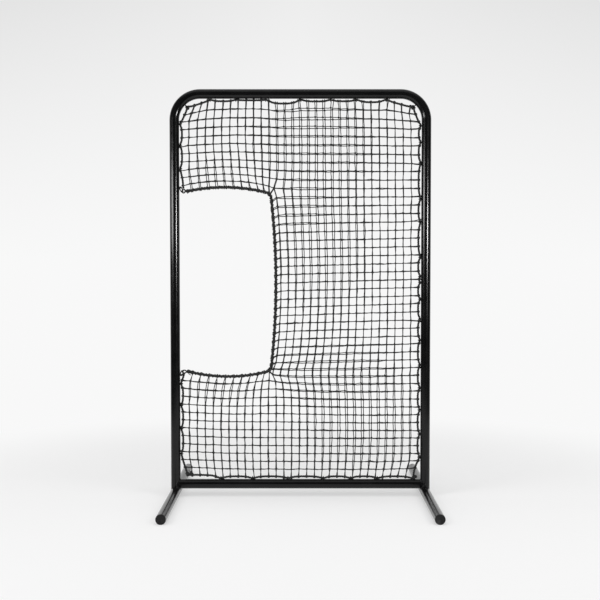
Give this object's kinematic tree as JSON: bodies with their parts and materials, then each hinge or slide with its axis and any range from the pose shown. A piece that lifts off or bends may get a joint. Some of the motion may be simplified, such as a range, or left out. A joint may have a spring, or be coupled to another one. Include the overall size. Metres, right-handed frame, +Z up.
{
  "type": "c-shaped pitching screen",
  "caption": "Free-standing softball pitching screen: a bent tube hoop on two slip-on feet, with a two-ply net roped inside it round a C-shaped side window.",
  "frame": {"origin": "on the floor, at the middle of the footprint of the two feet", "axes": "+Z up; +X to the right of someone who faces the screen, with the window at -X; +Y away from them; the net hangs in the plane Y = 0"},
  "size_m": [1.365, 1.2192, 2.134],
  "materials": {
    "frame_tube": "glossy black powder coat",
    "rope_eye": "black powder coat",
    "spigot_steel": "bright zinc plate",
    "end_plug": "matt black moulded plastic",
    "rope": "black twisted fibre",
    "net_twine": "black knotted twine"
  },
  "bodies": {
    "frame": {"frame_hoop": "frame_tube", "bottom_rail": "frame_tube", "front_net_ply": "net_twine", "rear_net_ply": "net_twine", "edge_rope": "rope", "window_rope": "rope", "upper_window_knot": "rope", "lower_window_knot": "rope", "left_rope_eye_01": "rope_eye", "left_rope_eye_02": "rope_eye", "left_rope_eye_03": "rope_eye", "left_rope_eye_04": "rope_eye", "left_rope_eye_05": "rope_eye", "left_rope_eye_06": "rope_eye", "left_rope_eye_07": "rope_eye", "left_rope_eye_08": "rope_eye", "left_rope_eye_09": "rope_eye", "left_corner_rope_eye_01": "rope_eye", "right_corner_rope_eye_01": "rope_eye", "top_rope_eye_01": "rope_eye", "top_rope_eye_02": "rope_eye", "top_rope_eye_03": "rope_eye", "top_rope_eye_04": "rope_eye", "top_rope_eye_05": "rope_eye", "top_rope_eye_06": "rope_eye", "top_rope_eye_07": "rope_eye", "right_rope_eye_01": "rope_eye", "right_rope_eye_02": "rope_eye", "right_rope_eye_03": "rope_eye", "right_rope_eye_04": "rope_eye", "right_rope_eye_05": "rope_eye", "right_rope_eye_06": "rope_eye", "right_rope_eye_07": "rope_eye", "right_rope_eye_08": "rope_eye", "right_rope_eye_09": "rope_eye", "right_rope_eye_10": "rope_eye", "right_rope_eye_11": "rope_eye", "right_rope_eye_12": "rope_eye", "right_rope_eye_13": "rope_eye", "right_rope_eye_14": "rope_eye", "right_rope_eye_15": "rope_eye", "right_rope_eye_16": "rope_eye", "bottom_rope_eye_01": "rope_eye", "bottom_rope_eye_02": "rope_eye", "bottom_rope_eye_03": "rope_eye", "bottom_rope_eye_04": "rope_eye", "bottom_rope_eye_05": "rope_eye", "bottom_rope_eye_06": "rope_eye", "bottom_rope_eye_07": "rope_eye"},
    "left_foot_assembly": {"left_foot": "frame_tube", "left_spigot": "spigot_steel", "left_front_plug": "end_plug", "left_rear_plug": "end_plug"},
    "right_foot_assembly": {"right_foot": "frame_tube", "right_spigot": "spigot_steel", "right_front_plug": "end_plug", "right_rear_plug": "end_plug"}
  },
  "joints": [
    {"name": "left_foot_pull_off", "type": "slide", "parent": "frame", "child": "left_foot_assembly", "axis": [0, 0, -1], "range_m": [0, 0.16]},
    {"name": "right_foot_pull_off", "type": "slide", "parent": "frame", "child": "right_foot_assembly", "axis": [0, 0, -1], "range_m": [0, 0.16]}
  ]
}
